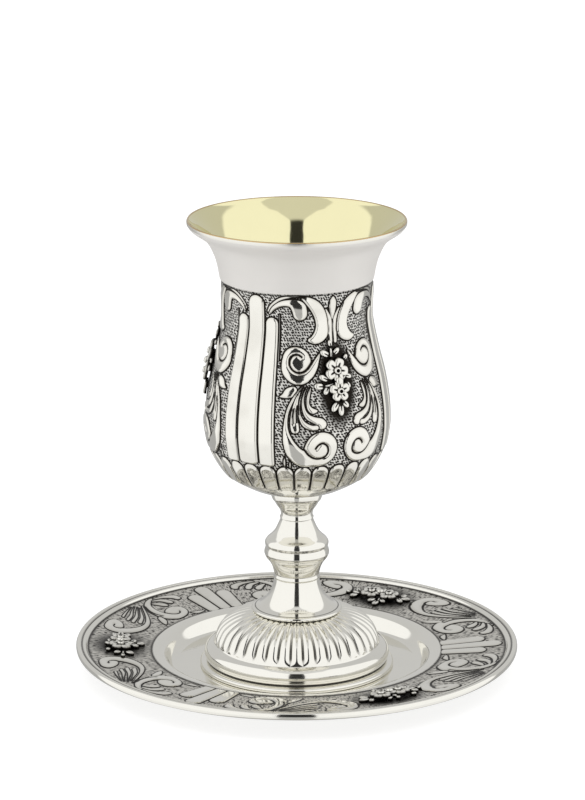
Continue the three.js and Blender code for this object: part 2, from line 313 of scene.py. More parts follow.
# The bowl's material indexes
CHASED, GILDING, SATIN_LIP, GILT_EDGE, SOFT_RIM = range(5)
RIM_BEAD = [(33.07, 140.25, SOFT_RIM), (33.02, 140.65, GILT_EDGE), (32.85, 140.95, GILT_EDGE),
            (32.6, 140.98, GILT_EDGE)]
GILT_FLARE = [(32.4, 140.75), (32.15, 140.45), (31.7, 140.0), (31.05, 139.45), (29.55, 138.0),
              (27.8, 136.0), (26.3, 134.0), (25.05, 132.0), (24.1, 130.0), (23.4, 128.0)]
# Heights: where the wall starts, the lobes' feet and tops, the line above the ornament, the
# fine wall's last ring, the plain lip's first, and where the satin ends
WALL_FOOT = 58.0
LOBE_FOOT = 62.3
LOBE_TOP = 71.0
BORDER = 122.9
FINE_TOP = 123.6
LIP_FOOT = 124.2
SATIN_TOP = 139.3
# Rings over the lobes and over the wall above them
LOBE_ROWS = 20
WALL_ROWS = 147
BOWL_RELIEF = 0.7
BOWL_PAD_EDGE = 0.5
# Height of the flowers' middle, and half width and half height of the blackened patch there
FLOWERS_HEIGHT = 97.0
PATCH_HEIGHT = 96.5
PATCH_HALF = (6.0, 12.4)
# The relief is shallower above this height, and the line above it is cut in this deep
CALM_FROM = 118.5
CALMED = 0.6
LINE_DEPTH = 0.25
LINE_REACH = 0.25

# The ornament of half a panel: layer, height and stations, across from the panel's centre
# line and along the height
BOWL_STROKES = [
    # The bud on the centre line, and the tendril beside its stalk
    (2, 0.5, spline([(0, 121.6, 0.5), (0, 119.9, 1.3), (0, 117.8, 1.1), (0, 115.2, 0.3)], 6)),
    (2, 0.4, spline([(0.75, 108.4, 0.6), (0.8, 112, 0.8), (0.95, 115, 0.75), (2.2, 118, 0.45)], 6)),
    # The C scroll below the border, its strap and the leaf inside it
    (0, 0.95, spline([(7.3, 109.2, 0.7), (5.6, 109.4, 1.5), (3.8, 110.9, 2.15), (3.4, 113.5, 1.95),
                      (4.0, 116.5, 1.95), (5.4, 119, 1.85), (7.5, 120.9, 1.3), (9.9, 122.2, 0.4)], 6)),
    (2, 0.35, spline([(9, 122.3, 0.25), (12.5, 122.4, 0.3), (16.3, 121.6, 0.5), (19, 119.3, 0.45),
                      (19.9, 117.4, 0.3)], 6)),
    (1, 0.8, spline([(10.0, 117.2, 2.2), (10.6, 119.0, 2.2), (12.6, 120.3, 1.3), (15.6, 120.2, 0.95),
                     (18, 118.8, 0.7), (19.3, 117, 0.35)], 6)),
    # The volute beside the flowers, from its tail to the disc that its spiral is cut in
    (1, 0.95, spline([(4.7, 105.2, 0.3), (5.7, 103.3, 0.8), (7.0, 101.1, 1.25), (8.9, 99.3, 1.6),
                      (11.3, 98.3, 1.85), (13.3, 98.6, 1.9), (14.9, 100.0, 1.7), (15.2, 101.8, 1.5),
                      (12.1, 103.0, 4.15), (12.0, 103.1, 4.15)], 5)),
    # The small leaf below the volute
    (0, 0.6, spline([(13.9, 94.8, 1.3), (15.2, 94.1, 1.5), (16.7, 93.3, 0.8), (18.3, 92.9, 0.15)], 6)),
    # The great scroll at the foot of the panel and its stem
    (1, 0.95, spline([(6.2, 77.2, 5.1), (6.7, 76.3, 4.9), (8.6, 74.2, 2.8), (11.2, 74.0, 2.6),
                      (13.5, 75.2, 2.4), (15.2, 77.2, 2.1), (16.35, 79.6, 1.6), (16.95, 82.4, 1.0),
                      (16.95, 85.2, 0.65), (16.3, 88.2, 0.5), (15.2, 90.6, 0.5), (13.8, 92.8, 0.42),
                      (12.2, 94.8, 0.3), (10.8, 96.2, 0.2)], 5)),
    # Blades of the acanthus leaf, from the innermost
    (2, 0.55, spline([(8.7, 95.4, 0.3), (9.6, 92.9, 0.5), (9.9, 91.0, 0.5), (9.55, 89.6, 0.75),
                      (8.7, 88.75, 0.9), (7.5, 88.7, 0.5)], 6)),
    (0, 0.75, spline([(9.7, 95.8, 0.2), (10.9, 93.6, 0.3), (11.4, 91.2, 0.42), (11.15, 88.8, 0.6),
                      (10.1, 87.0, 0.9), (8.3, 86.0, 1.05), (6.6, 85.3, 1.35), (6.1, 84.6, 1.6)], 6)),
    (2, 0.7, spline([(10.7, 95.4, 0.2), (12.2, 92, 0.3), (12.75, 88.8, 0.35), (12.3, 86.4, 0.55),
                     (11.2, 84.7, 0.8), (9.2, 83.7, 0.85), (7.8, 83.7, 0.85)], 6)),
    (0, 0.6, spline([(11.9, 94.4, 0.25), (13.1, 92.2, 0.55), (13.8, 89.7, 0.9), (14.25, 87, 1.2),
                     (14.35, 84.8, 1.35), (14.2, 83.3, 1.35)], 6)),
    # Two small spikes at the foot, between the great scroll and the flutes
    (2, 0.3, spline([(14.9, 70.7, 0.3), (15.2, 72.4, 0.35), (15.4, 73.8, 0.1)], 4)),
    (2, 0.3, spline([(16.6, 71.2, 0.3), (17.0, 73, 0.4), (17.1, 74.8, 0.1)], 4)),
]
# Lines cut into the pads: half width and stations. The spirals of the volute and of the
# great scroll, and two veins of the outermost blade
BOWL_GROOVES = [
    (0.15, spline([(10.2, 104.4), (11.3, 105.1), (12.7, 104.9), (13.8, 103.8), (14.1, 102.1),
                   (13.3, 100.6), (11.9, 99.9), (10.3, 100.1), (8.9, 101.0), (7.8, 102.3),
                   (7.2, 103.2)], 4)),
    (0.14, spline([(8.0, 77.2), (7.3, 78.2), (6.2, 78.8), (5.0, 78.4), (4.2, 77.3), (4.1, 75.8),
                   (4.9, 74.6), (6.5, 74.0), (8.3, 74.2), (10.0, 75.3), (11.3, 76.9),
                   (11.9, 77.6)], 4)),
    (0.06, spline([(13.2, 90.4), (13.6, 88), (13.7, 85.3)], 4)),
    (0.06, spline([(14.2, 89.6), (14.6, 87.4), (14.7, 85.0)], 4)),
]
LOBE_ANGLE = 360 / LOBES
LOBES_IN_HALF = round(HALF_SECTOR / LOBE_ANGLE) + 1
# Layer, height, angle from the panel's centre line, half angle, lowest and highest point of
# the tall flute, the one beside it, the thin rib at its edge and the lobes below
BOWL_RIBS = [
    (1, 1.0, HALF_SECTOR, 6.8, 71.6, 122.3),
    (0, 0.9, 47.3, 5.2, 71.4, 115.9),
    (2, 0.3, 41.2, 0.6, 103.0, 117.0),
]
BOWL_RIBS += [(2 - 2 * (k % 2), 0.75, LOBE_ANGLE * k, 5.65, LOBE_FOOT + 0.2, 71.3)
              for k in range(LOBES_IN_HALF)]

PANEL_HALF_CELLS = 62
PANEL_HALF_ANGLE = HALF_SECTOR - FLUTE_HALF_ANGLE
# Start, end and cells of the spans across half a flute group, finest at the flutes' edges
FLUTE_SPANS = [(PANEL_HALF_ANGLE, 43.4, 2), (43.4, 51.2, 7), (51.2, 54.5, 6), (54.5, HALF_SECTOR, 5)]


def bowl_columns():
    """Angles of half a sector, from a panel's centre line to a flute group's."""
    panel = np.linspace(0, PANEL_HALF_ANGLE, PANEL_HALF_CELLS, endpoint=False)
    flutes = [np.linspace(start, end, cells, endpoint=False) for start, end, cells in FLUTE_SPANS]
    return np.concatenate([panel, *flutes, [HALF_SECTOR]])


def bowl_radius(height):
    """The plain wall's radius at heights above its foot."""
    outline = spline(BOWL_OUTER, OUTLINE_STEPS)
    wall = outline[outline[:, 1] > WALL_FOOT]
    return np.interp(height, wall[:, 1], wall[:, 0])


def bowl_lift(pads, rows):
    """How far the surface stands off the plain wall, with a line cut in above the ornament."""
    above_foot = smoothstep(LOBE_FOOT - 0.01, LOBE_FOOT + 0.5, rows)
    fade = above_foot * (1 - smoothstep(BORDER - 0.4, BORDER, rows))
    calm = 1 - CALMED * smoothstep(CALM_FROM, BORDER, rows)
    cut = LINE_DEPTH * near(rows - BORDER, LINE_REACH)
    return (GROUND + pads.height() * calm[:, None]) * fade[:, None] - cut[:, None]


def add_chased_wall(skin, turn):
    lobes = np.linspace(LOBE_FOOT, LOBE_TOP, LOBE_ROWS, endpoint=False)
    rows = np.concatenate([lobes, np.linspace(LOBE_TOP, FINE_TOP, WALL_ROWS)])
    radius = bowl_radius(rows)
    pads = Pads(bowl_columns(), radius, rows, BOWL_RELIEF, BOWL_PAD_EDGE)
    pads.draw(BOWL_STROKES, BOWL_GROOVES, BOWL_RIBS)
    normals = profile_normals(np.stack([radius, rows], 1))
    lift = round_sectors(bowl_lift(pads, rows))
    layers = round_sectors(pads.layers)
    across = round_sectors(pads.across)
    for i, z in enumerate(rows):
        ring = turned_ring(radius[i] + normals[i, 0] * lift[i], z + normals[i, 1] * lift[i], turn)
        up = (z - PATCH_HEIGHT) / PATCH_HALF[1]
        patch = smoothstep(1.25, 0.8, np.hypot(across[i] / PATCH_HALF[0], up))
        skin.add(ring, SATIN_LIP if z > BORDER else CHASED, **dict(zip(PAD_KEYS, layers[:, i])),
                 decor=1.0 if LOBE_FOOT < z < BORDER else 0.0,
                 halo=np.maximum(patch, near(z - BORDER + 0.25, 0.22)))


def bowl_piece():
    outline = spline(BOWL_OUTER, OUTLINE_STEPS)
    columns = bowl_columns()
    sector = np.concatenate([columns, SECTOR - columns[-2:0:-1]])
    turn = np.concatenate([sector + SECTOR * k for k in range(SECTORS)]) + PANEL_ANGLE
    coarse = turn[::FINE]
    skin = Skin(*CHASED_KEYS)
    bottom = even(outline[outline[:, 1] <= LOBE_FOOT], step=1.3)
    skin.point(STEM_HIGH)
    skin.turn(bottom[bottom[:, 1] < LOBE_FOOT - 0.2][1:], coarse)
    add_chased_wall(skin, turn)
    for r, z in even(outline[outline[:, 1] > LIP_FOOT], step=0.8):
        skin.add(turned_ring(r, z, coarse), SATIN_LIP if z < SATIN_TOP else SOFT_RIM)
    # The rim turns over in a bead and runs down inside as the gilt skin
    for r, z, band in RIM_BEAD:
        skin.add(turned_ring(r, z, coarse), band)
    skin.turn(even(spline(GILT_FLARE, 6), step=0.7), coarse, GILDING)
    inner = outline - profile_normals(outline) * BOWL_WALL
    inner = inner[(inner[:, 1] < GILT_FLARE[-1][1] - 0.8) & (inner[:, 0] > 0.5)][::-1]
    skin.turn(even(inner, step=2.0), coarse, GILDING)
    skin.point(inner[-1, 1], GILDING)
    return skin.piece("bowl_silver")


# Saucer: radius and height of its parts' outlines. The border lies between BAND_IN and
# BAND_OUT
SAUCER_FLOOR = heights("foot")[0]  # which the foot stands on
SAUCER_UNDER = [(38.3, 0.0), (39.4, 0.7), (41.2, 4.0), (43, 4.8), (54, 5.85), (63.5, 6.65), (66.4, 6.3)]
SAUCER_LIP = [(67.2, 6.4), (67.73, 7.0), (67.88, 7.9), (67.5, 8.6), (66.95, 8.75), (66.45, 8.45),
              (66.1, 8.1), (65.7, 8.4), (65.3, 8.5), (64.9, 8.2), (64.55, 7.77)]
LIP_CREASE = 66.1
BAND_OUT = (64.2, 7.7)
BAND_IN = (44.7, 5.9)
SAUCER_WELL = [(44.2, 5.85), (42.5, 5.6), (41, 5.25), (40.2, 4.2), (39.4, 2.6), (38.4, 1.3),
               (37, SAUCER_FLOOR)]
# Radii of the flat underside, and of the flat floor from its edge to its last ring
SAUCER_FLAT = 38
WELL_FLAT = (34, 4)
# Cells across half a sector, and rings across the border
SAUCER_CELLS = 172
BAND_ROWS = 58
SAUCER_RELIEF = 0.45
SAUCER_PAD_EDGE = 0.6
EDGE_CUT = 0.2
EDGE_REACH = 0.25
# Radius of the flowers' middle, and half width and half depth of the blackened patch there
FLOWERS_RADIUS = 54.5
SAUCER_PATCH_HALF = (11.0, 8.0)


def polar(points, steps=6):
    """Stations given as angle in degrees, radius and half width, as across and along."""
    run = spline(points, steps)
    run[:, 0] = np.radians(run[:, 0]) * run[:, 1]
    return run


# The ornament of half a sector, with angles from a flute group's centre line
SAUCER_STROKES = [
    # The scroll beside the flutes: its disc and the arm that rises from it to the rim
    (1, 0.8, polar([(18.6, 50.4, 4.0), (19.6, 50.3, 4.1), (22.0, 48.6, 2.2), (24.6, 50.2, 1.8),
                    (25.0, 53.0, 1.7), (24.2, 56.4, 1.6), (22.4, 59.6, 1.4), (19.4, 62.1, 1.05),
                    (15.5, 63.2, 0.6)])),
    # Small leaves round the scroll
    (0, 0.6, polar([(17.0, 62.6, 0.4), (13.4, 62.0, 0.9), (10.8, 60.5, 1.3), (10.2, 59.0, 1.2)])),
    (2, 0.6, polar([(18.4, 61.6, 0.4), (15.8, 60.4, 0.9), (14.6, 58.3, 1.1), (14.2, 57.3, 0.8)])),
    (0, 0.6, polar([(20.0, 60.0, 0.4), (18.7, 58.8, 0.9), (17.7, 57.3, 1.1), (17.3, 56.4, 0.8)])),
    (0, 0.5, polar([(28.0, 50.6, 1.1), (29.4, 48.6, 1.4), (31.2, 47.0, 0.7)])),
    (2, 0.4, polar([(9.6, 46.4, 0.5), (12.4, 46.6, 0.9), (14.6, 47.6, 0.3)])),
    # The scroll beside the flowers and its long arm
    (1, 0.8, polar([(41.4, 59.6, 3.0), (42.6, 60.0, 3.0), (45.4, 60.8, 1.5), (46.4, 58.6, 1.5),
                    (46.2, 56.2, 1.5), (44.8, 53.6, 1.4), (42.0, 51.7, 1.25), (38.6, 51.0, 1.1),
                    (35.0, 51.6, 1.0), (31.6, 53.3, 0.8), (28.6, 55.6, 0.6), (26.0, 58.2, 0.45),
                    (23.6, 61.0, 0.3)])),
    # Blades of the leaf between the arm and the rim
    (0, 0.6, polar([(25.4, 60.4, 0.2), (28.6, 57.6, 0.45), (32.0, 55.2, 0.75), (35.8, 53.9, 0.9)])),
    (2, 0.6, polar([(25.2, 61.6, 0.2), (28.6, 59.2, 0.4), (32.4, 57.0, 0.7), (36.6, 56.0, 0.8)])),
    (0, 0.6, polar([(25.6, 62.5, 0.2), (29.2, 60.6, 0.4), (32.6, 58.8, 0.65), (36.0, 58.1, 0.7)])),
    (2, 0.5, polar([(26.6, 63.0, 0.2), (30.4, 61.8, 0.4), (34.4, 60.6, 0.6)])),
]
# The spirals of the two scrolls and a vein along the first one's arm
SAUCER_GROOVES = [
    (0.1, polar([(17.4, 50.4, 0), (18.4, 49.4, 0), (20.4, 49.3, 0), (22.0, 50.6, 0),
                 (22.7, 52.8, 0), (22.4, 55.6, 0)])),
    (0.1, polar([(42.0, 59.9, 0), (43.4, 59.7, 0), (44.4, 58.8, 0), (44.5, 57.4, 0),
                 (43.6, 56.3, 0)])),
    (0.08, polar([(25.6, 51.0, 0), (26.0, 53.6, 0), (25.2, 56.6, 0), (23.4, 59.8, 0)])),
]
# The middle flute and the one beside it
SAUCER_RIBS = [
    (2, 0.8, 0.0, 2.45, BAND_IN[0], 63.3),
    (0, 0.8, 5.25, 2.55, BAND_IN[0], 58.5),
]


def band_level(radius):
    """Height of the border's plain surface."""
    return np.interp(radius, (BAND_IN[0], BAND_OUT[0]), (BAND_IN[1], BAND_OUT[1]))


def add_chased_border(skin, turn):
    radius = np.linspace(BAND_OUT[0], BAND_IN[0], BAND_ROWS)
    columns = np.linspace(0, HALF_SECTOR, SAUCER_CELLS + 1)
    pads = Pads(columns, radius, radius, SAUCER_RELIEF, SAUCER_PAD_EDGE)
    pads.draw(SAUCER_STROKES, SAUCER_GROOVES, SAUCER_RIBS)
    edge = np.minimum(radius - BAND_IN[0], BAND_OUT[0] - radius)
    cut = EDGE_CUT * near(edge, EDGE_REACH)
    lift = round_sectors((GROUND + pads.height()) * smoothstep(0, 0.5, edge)[:, None] - cut[:, None])
    layers = round_sectors(pads.layers)
    from_flowers = round_sectors(HALF_SECTOR - columns) * math.pi / 180
    for i, r in enumerate(radius):
        out = (r - FLOWERS_RADIUS) / SAUCER_PATCH_HALF[1]
        patch = smoothstep(1.4, 0.55, np.hypot(from_flowers * r / SAUCER_PATCH_HALF[0], out))
        skin.add(turned_ring(r, band_level(r) + lift[i], turn), **dict(zip(PAD_KEYS, layers[:, i])),
                 decor=1.0, halo=np.maximum(patch, near(edge[i], 0.5)))


def saucer_piece():
    columns = 2 * SECTORS * SAUCER_CELLS
    turn = np.arange(columns) * 360 / columns + SAUCER_FLUTE_ANGLE
    coarse = turn[::FINE]
    skin = Skin(*CHASED_KEYS)
    skin.point(0)
    skin.turn([(r, 0) for r in np.linspace(0, SAUCER_FLAT, 6)[1:]], coarse)
    skin.turn(even(spline(SAUCER_UNDER, 6), step=2.2), coarse)
    # The lip's crease gets a thin black line of painted shade from the chased finish
    for r, z in even(spline(SAUCER_LIP, 6), step=0.3)[1:]:
        skin.add(turned_ring(r, z, coarse), decor=0.75 * near(r - LIP_CREASE, 0.22), halo=1.0)
    add_chased_border(skin, turn)
    skin.turn(even(spline(SAUCER_WELL, 6), step=0.8), coarse)
    skin.turn([(r, SAUCER_FLOOR) for r in np.linspace(*WELL_FLAT, 8)], coarse)
    skin.point(SAUCER_FLOOR)
    return skin.piece("saucer_silver")


# Stem: radius and height of its outline, from the foot's bell to the bowl
STEM = [
    (6.95, STEM_LOW), (7.15, 29.3), (6.9, 30.0), (7.05, 30.9), (7.5, 32.5), (8.3, 34.1), (9.4, 35.5),
    (9.93, 36.8), (9.8, 37.9), (9.55, 38.6), (9.62, 39.3), (9.75, 40.2), (9.2, 41.2), (8.1, 42.2),
    (6.85, 43.6), (5.96, 45.3), (5.25, 46.9), (5.0, 47.7), (5.2, 48.2), (4.9, 48.7), (4.9, 49.6),
    (5.3, 50.8), (6.1, 51.9), (6.85, 53.2), (6.95, 53.5), (7.3, 53.7), (7.7, 54.6), (7.9, 55.8),
    (7.9, 56.8),
]
# Radii of the rings on its flat ends
STEM_FOOT_RINGS = (3.5, 6.6)
STEM_TOP_RINGS = (7.6, 4)
STEM_COLUMNS = 96


def stem_piece():
    turn = np.arange(STEM_COLUMNS) * 360 / STEM_COLUMNS
    skin = Skin()
    skin.point(STEM_LOW)
    skin.turn([(r, STEM_LOW) for r in STEM_FOOT_RINGS], turn)
    skin.turn(even(spline(STEM, 8), step=0.35), turn)
    skin.turn([(r, STEM_HIGH) for r in STEM_TOP_RINGS], turn)
    skin.point(STEM_HIGH)
    return skin.piece("stem_silver")


# Foot: radius and height of its mouldings, from the saucer's floor to the stem
FOOT_HOLLOW = [(4, 26), (6, 21.5), (11, 17.5), (17, 15.4), (21.8, 12), (23.4, 8), (25.6, 5), (26.6, 2.0),
               (27.4, SAUCER_FLOOR)]
HOLLOW_TOP = 26.5
FLANGE = [(29.3, SAUCER_FLOOR), (29.7, 1.3), (29.75, 1.8), (29.5, 2.3), (28.9, 2.6), (28.0, 2.75),
          (27.4, 2.8)]
TORUS = [(27.35, 2.95), (27.95, 3.5), (28.35, 4.5), (28.35, 5.5), (27.95, 6.6), (27.2, 7.4), (26.3, 7.9),
         (25.6, 8.2)]
DOME = [(25.4, 8.5), (25.2, 9.4), (24.6, 11.2), (23.2, 13.6), (20.8, 15.6), (17.6, 17.2), (14.2, 18.1),
        (12.9, 18.35)]
BELL = [(12.8, 18.45), (13.4, 18.5), (13.8, 18.9), (13.75, 19.35), (13.3, 19.65), (12.8, 19.7),
        (12.2, 19.95), (11.2, 20.5), (9.9, 21.7), (8.7, 23.3), (7.8, 25.2), (7.15, 27.2), (6.9, STEM_LOW)]
# Radius, height and reach of the dark lines of painted shade between the mouldings
FOOT_CREASES = [(27.38, 2.88, 0.3), (12.85, 18.4, 0.3), (12.75, 19.72, 0.1)]
# Cells across each tongue of the dome
GADROON_CELLS = 16
FOLD_DEPTH = 1.25
TONGUE_ROUNDNESS = 0.55


def foot_crease(radius, height):
    """1 on a dark line of painted shade between the mouldings."""
    return max(near(math.hypot(radius - r, height - z), reach) for r, z, reach in FOOT_CREASES)


def add_dome(skin, turn):
    """Broad convex tongues with a narrow fold between each two, darkened with painted shade."""
    arc = even(spline(DOME, 10), step=0.34)
    normals = profile_normals(arc)
    # 1 along the middle of a tongue and 0 in a fold
    middle = np.abs(np.cos(np.radians(turn * GADROONS) / 2))
    for i, (r, z) in enumerate(arc):
        part = i / (len(arc) - 1)
        # The folds start sharply at the dome's foot and run out towards its top
        reach = smoothstep(0.0, 0.14, part) * (1 - 0.75 * smoothstep(0.35, 1.0, part))
        dip = -FOLD_DEPTH * reach * (1 - middle**TONGUE_ROUNDNESS)
        # Painted shade, darkest in the folds and on the lines between the mouldings
        fold_shade = smoothstep(0.42, 0.1, middle) * reach * (1 - 0.8 * smoothstep(0.25, 0.75, part))
        radius = r + normals[i, 0] * dip
        height = z + normals[i, 1] * dip
        line = foot_crease(radius.mean(), height.mean())
        skin.add(turned_ring(radius, height, turn), crease=np.maximum(0.9 * fold_shade, line))


def foot_piece():
    columns = GADROON_CELLS * GADROONS
    turn = np.arange(columns) * 360 / columns
    coarse = turn[::FINE]
    skin = Skin("crease")

    def moulding(outline, step):
        for r, z in even(spline(outline, 8), step):
            skin.add(turned_ring(r, z, coarse), crease=foot_crease(r, z))

    skin.point(HOLLOW_TOP)
    skin.turn(even(spline(FOOT_HOLLOW, 6), step=1.6), coarse)
    moulding(FLANGE, step=0.22)
    moulding(TORUS, step=0.22)
    add_dome(skin, turn)
    moulding(BELL, step=0.25)
    skin.point(STEM_LOW)
    return skin.piece("foot_silver")


# Cast flower sprays, drawn flat with the stalk along the second axis, then laid on a surface.
# Each ring's points are across, along, lift and lit share, from 0 in a recess, black with painted shade,
# to 1 on a crest.
# A petal's or leaf's rings: share of its outline, and share of its rise
PETAL_RINGS = [(1.0, 0.0), (0.94, 0.45), (0.82, 0.74), (0.6, 0.94), (0.36, 1.0), (0.14, 0.98)]
PETAL_POINTS = 24
PETAL_UNDER = 0.35
# A hollow eye's and a bud's rings: share of its radius, lift as a share of it, and lit share, low where
# shade is painted
BUTTON_RINGS = [(1.0, -0.9, 0), (1.0, 0.0, 0.6), (0.85, 0.45, 1), (0.62, 0.6, 1)]
EYE_RINGS = BUTTON_RINGS + [(0.42, 0.3, 0.1), (0.34, -0.3, 0)]
BUD_RINGS = BUTTON_RINGS + [(0.35, 0.75, 1)]
BUTTON_POINTS = 18
# Centre, radius, turn in degrees and height of each flower
FLOWERS = [((-0.4, 3.3), 3.7, 62, 1.2), ((-0.1, -2.7), 3.3, 18, 1.1)]
PETALS = 5
PETAL_WIDTH = 0.86
# Root, direction in degrees, length and width of each leaf
LEAVES = [
    ((-1.3, 9.6), 95, 2.5, 1.4), ((-1.5, 7.1), 149, 3.7, 2.0), ((-1.1, 7.4), 40, 3.2, 1.6),
    ((-2.4, 0.3), 156, 3.8, 2.0), ((-4.0, -1.2), 177, 3.7, 2.1), ((-3.1, -0.9), 238, 3.2, 1.7),
    ((2.0, 1.6), -20, 2.8, 1.5), ((2.3, -0.2), -55, 2.6, 1.4), ((2.4, 5.6), 50, 2.2, 1.3),
    ((-0.2, -5.4), 232, 4.3, 2.0), ((0.1, -5.9), 270, 4.5, 2.0), ((0.5, -5.6), 312, 3.2, 1.8),
]
# Each stalk's ends
STALKS = [((-1.5, 6.0), (-1.35, 9.8)), ((-0.5, -0.6), (-4.4, -1.1)), ((0.6, 0.0), (2.6, 1.4))]
STALK_WIDTH = 0.7


def dished(centre, degrees, length, width, base, rise, tip):
    """A petal or leaf: a pad with rounded edges and a groove down its middle. tip is below
    1 for a round end, and above it for a pointed one."""
    around = np.linspace(0, 2 * math.pi, PETAL_POINTS, endpoint=False)
    angle = math.radians(degrees)
    rings = []
    for share, lift in PETAL_RINGS:
        along = 0.5 + 0.5 * share * np.cos(around)
        bulge = np.sign(np.sin(around)) * np.abs(np.sin(around)) ** tip
        u = along * length
        # It is wider and higher towards its tip, and painted shade darkens its root, edges and middle
        # groove
        v = 0.5 * width * share * bulge * (0.7 + 0.45 * along)
        groove = near(v, 0.09 * width) * (1 - share) * smoothstep(0.9, 0.4, along)
        level = base + rise * (lift - 0.5 * groove) * (0.6 + 0.5 * along)
        # Painted shade: low at the edges, in the groove and towards the root
        lit_share = np.clip(0.3 + 0.75 * lift - 1.3 * groove, 0, 1) * smoothstep(0.16, 0.46, along)
        x = centre[0] + u * math.cos(angle) - v * math.sin(angle)
        y = centre[1] + u * math.sin(angle) + v * math.cos(angle)
        rings.append(np.stack([x, y, level, lit_share], 1))
    middle = rings[-1].mean(axis=0, keepdims=True)
    under = rings[0] - [0, 0, PETAL_UNDER, 0]
    foot = under.mean(axis=0, keepdims=True)
    return [foot, under] + rings + [middle]


def button(centre, radius, level, profile):
    """A flower's hollow eye or a round bud."""
    turn = np.linspace(0, 2 * math.pi, BUTTON_POINTS, endpoint=False)
    rings = [np.array([[*centre, 0, 0]])]
    for share, lift, lit_share in profile:
        x = centre[0] + radius * share * np.cos(turn)
        y = centre[1] + radius * share * np.sin(turn)
        height = np.full(BUTTON_POINTS, level + radius * lift)
        rings.append(np.stack([x, y, height, np.full(BUTTON_POINTS, lit_share)], 1))
    rings.append(rings[-1].mean(axis=0, keepdims=True))
    return rings


def spray_parts():
    """Every leaf, stalk, petal, eye and bud of a spray, each a list of rings."""
    parts = []
    for root, degrees, length, width in LEAVES:
        parts.append(dished(root, degrees, length, width, base=0.5, rise=0.75, tip=1.05))
    for root, end in STALKS:
        length = math.dist(root, end)
        lean = math.degrees(math.atan2(end[1] - root[1], end[0] - root[0]))
        parts.append(dished(root, lean, length, STALK_WIDTH, base=0.5, rise=0.7, tip=0.8))
    for centre, radius, turn, level in FLOWERS:
        for k in range(PETALS):
            degrees = turn + 360 / PETALS * k
            parts.append(dished(centre, degrees, radius, PETAL_WIDTH * radius, level, rise=0.95, tip=0.75))
        parts.append(button(centre, 1.05, level + 0.75, EYE_RINGS))
    parts.append(button((-0.2, 0.35), 1.1, 2.0, BUD_RINGS))
    return parts


def spray_piece(name, place):
    """One mesh of all the spray's parts, laid by a function of flat points."""
    rings, faces = [], []
    first = 0
    for part in spray_parts():
        for gap in gaps(part, first):
            faces += gap
        rings += part
        first += sum(len(ring) for ring in part)
    flat = np.vstack(rings)
    return mesh_piece(name, place(flat), faces, [0] * len(faces), {"lit_share": flat[:, 3]})


def on_bowl(turn):
    """Lays a spray on a panel's centre line."""
    def place(flat):
        height = FLOWERS_HEIGHT + flat[:, 1]
        radius = bowl_radius(height)
        angle = np.radians(PANEL_ANGLE + turn) + flat[:, 0] / radius
        reach = radius + GROUND + flat[:, 2]
        return np.stack([reach * np.sin(angle), -reach * np.cos(angle), height], 1)

    return place


def on_saucer(turn):
    """Lays a spray across the border, halfway between two flute groups."""
    def place(flat):
        angle = math.radians(SAUCER_FLUTE_ANGLE - 90 + HALF_SECTOR + turn)
        out = FLOWERS_RADIUS + flat[:, 0]
        side = flat[:, 1]
        level = band_level(np.hypot(out, side))
        x = out * math.cos(angle) - side * math.sin(angle)
        y = out * math.sin(angle) + side * math.cos(angle)
        return np.stack([x, y, level + GROUND + flat[:, 2]], 1)

    return place


# Finishes
class Nodes:
    """Short calls for building a shader. A value is a number, a colour or a node's output."""

    def __init__(self, tree):
        self.tree = tree

    def make(self, kind, **values):
        node = self.tree.nodes.new(kind)
        for key, value in values.items():
            if key in node.inputs:
                self.feed(node.inputs[key], value)
            else:
                setattr(node, key, value)
        return node

    def feed(self, socket, value):
        if isinstance(value, bpy.types.NodeSocket):
            self.tree.links.new(value, socket)
        else:
            socket.default_value = value

    def math(self, operation, *values):
        node = self.make("ShaderNodeMath", operation=operation)
        for socket, value in zip(node.inputs, values):
            self.feed(socket, value)
        return node.outputs[0]

    def add(self, first, second):
        return self.math("ADD", first, second)

    def times(self, first, second):
        return self.math("MULTIPLY", first, second)

    def rest(self, value):
        """What is left of 1."""
        return self.math("SUBTRACT", 1.0, value)

    def attribute(self, name):
        return self.make("ShaderNodeAttribute", attribute_name=name).outputs["Fac"]

    def ramp(self, value, low, high):
        """0 up to low, 1 from high on."""
        node = self.make("ShaderNodeMapRange", interpolation_type="SMOOTHSTEP", Value=value)
        self.feed(node.inputs["From Min"], low)
        self.feed(node.inputs["From Max"], high)
        return node.outputs["Result"]

    def mix(self, part, first, second):
        """A colour between two, by a number."""
        node = self.make("ShaderNodeMix", data_type="RGBA")
        for index, value in ((0, part), (6, first), (7, second)):
            self.feed(node.inputs[index], value)
        return node.outputs[2]

    def blend(self, part, first, second):
        """A number between two, by a third."""
        node = self.make("ShaderNodeMix", data_type="FLOAT")
        for index, value in ((0, part), (2, first), (3, second)):
            self.feed(node.inputs[index], value)
        return node.outputs[0]


SILVER = (0.9, 0.884, 0.822, 1.0)
GILT = (0.89, 0.84, 0.52, 1.0)
BROWN_GILT = (0.66, 0.5, 0.26, 1.0)
SATIN = (0.74, 0.72, 0.69, 1.0)
OXIDE = (0.018, 0.015, 0.012, 1.0)
PATINA_AND_SHADE = (0.42, 0.39, 0.33, 1.0)
MARK = (0.03, 0.027, 0.024, 1.0)
BOWL_GROUND = (0.78, 0.77, 0.73, 1.0)
SAUCER_GROUND = (0.72, 0.7, 0.65, 1.0)
POLISHED = 0.08
# Scale and detail of the noise that tints polished metal, and of its swells
CLOUDS = (60.0, 3.0)
SWELLS = (170.0, 1.0)
SWELL_HEIGHT = 0.0001
# The tint's share of the base colour, and the least and most of the given roughness
TINT = 0.93
ROUGHNESS_SPAN = (0.8, 1.25)


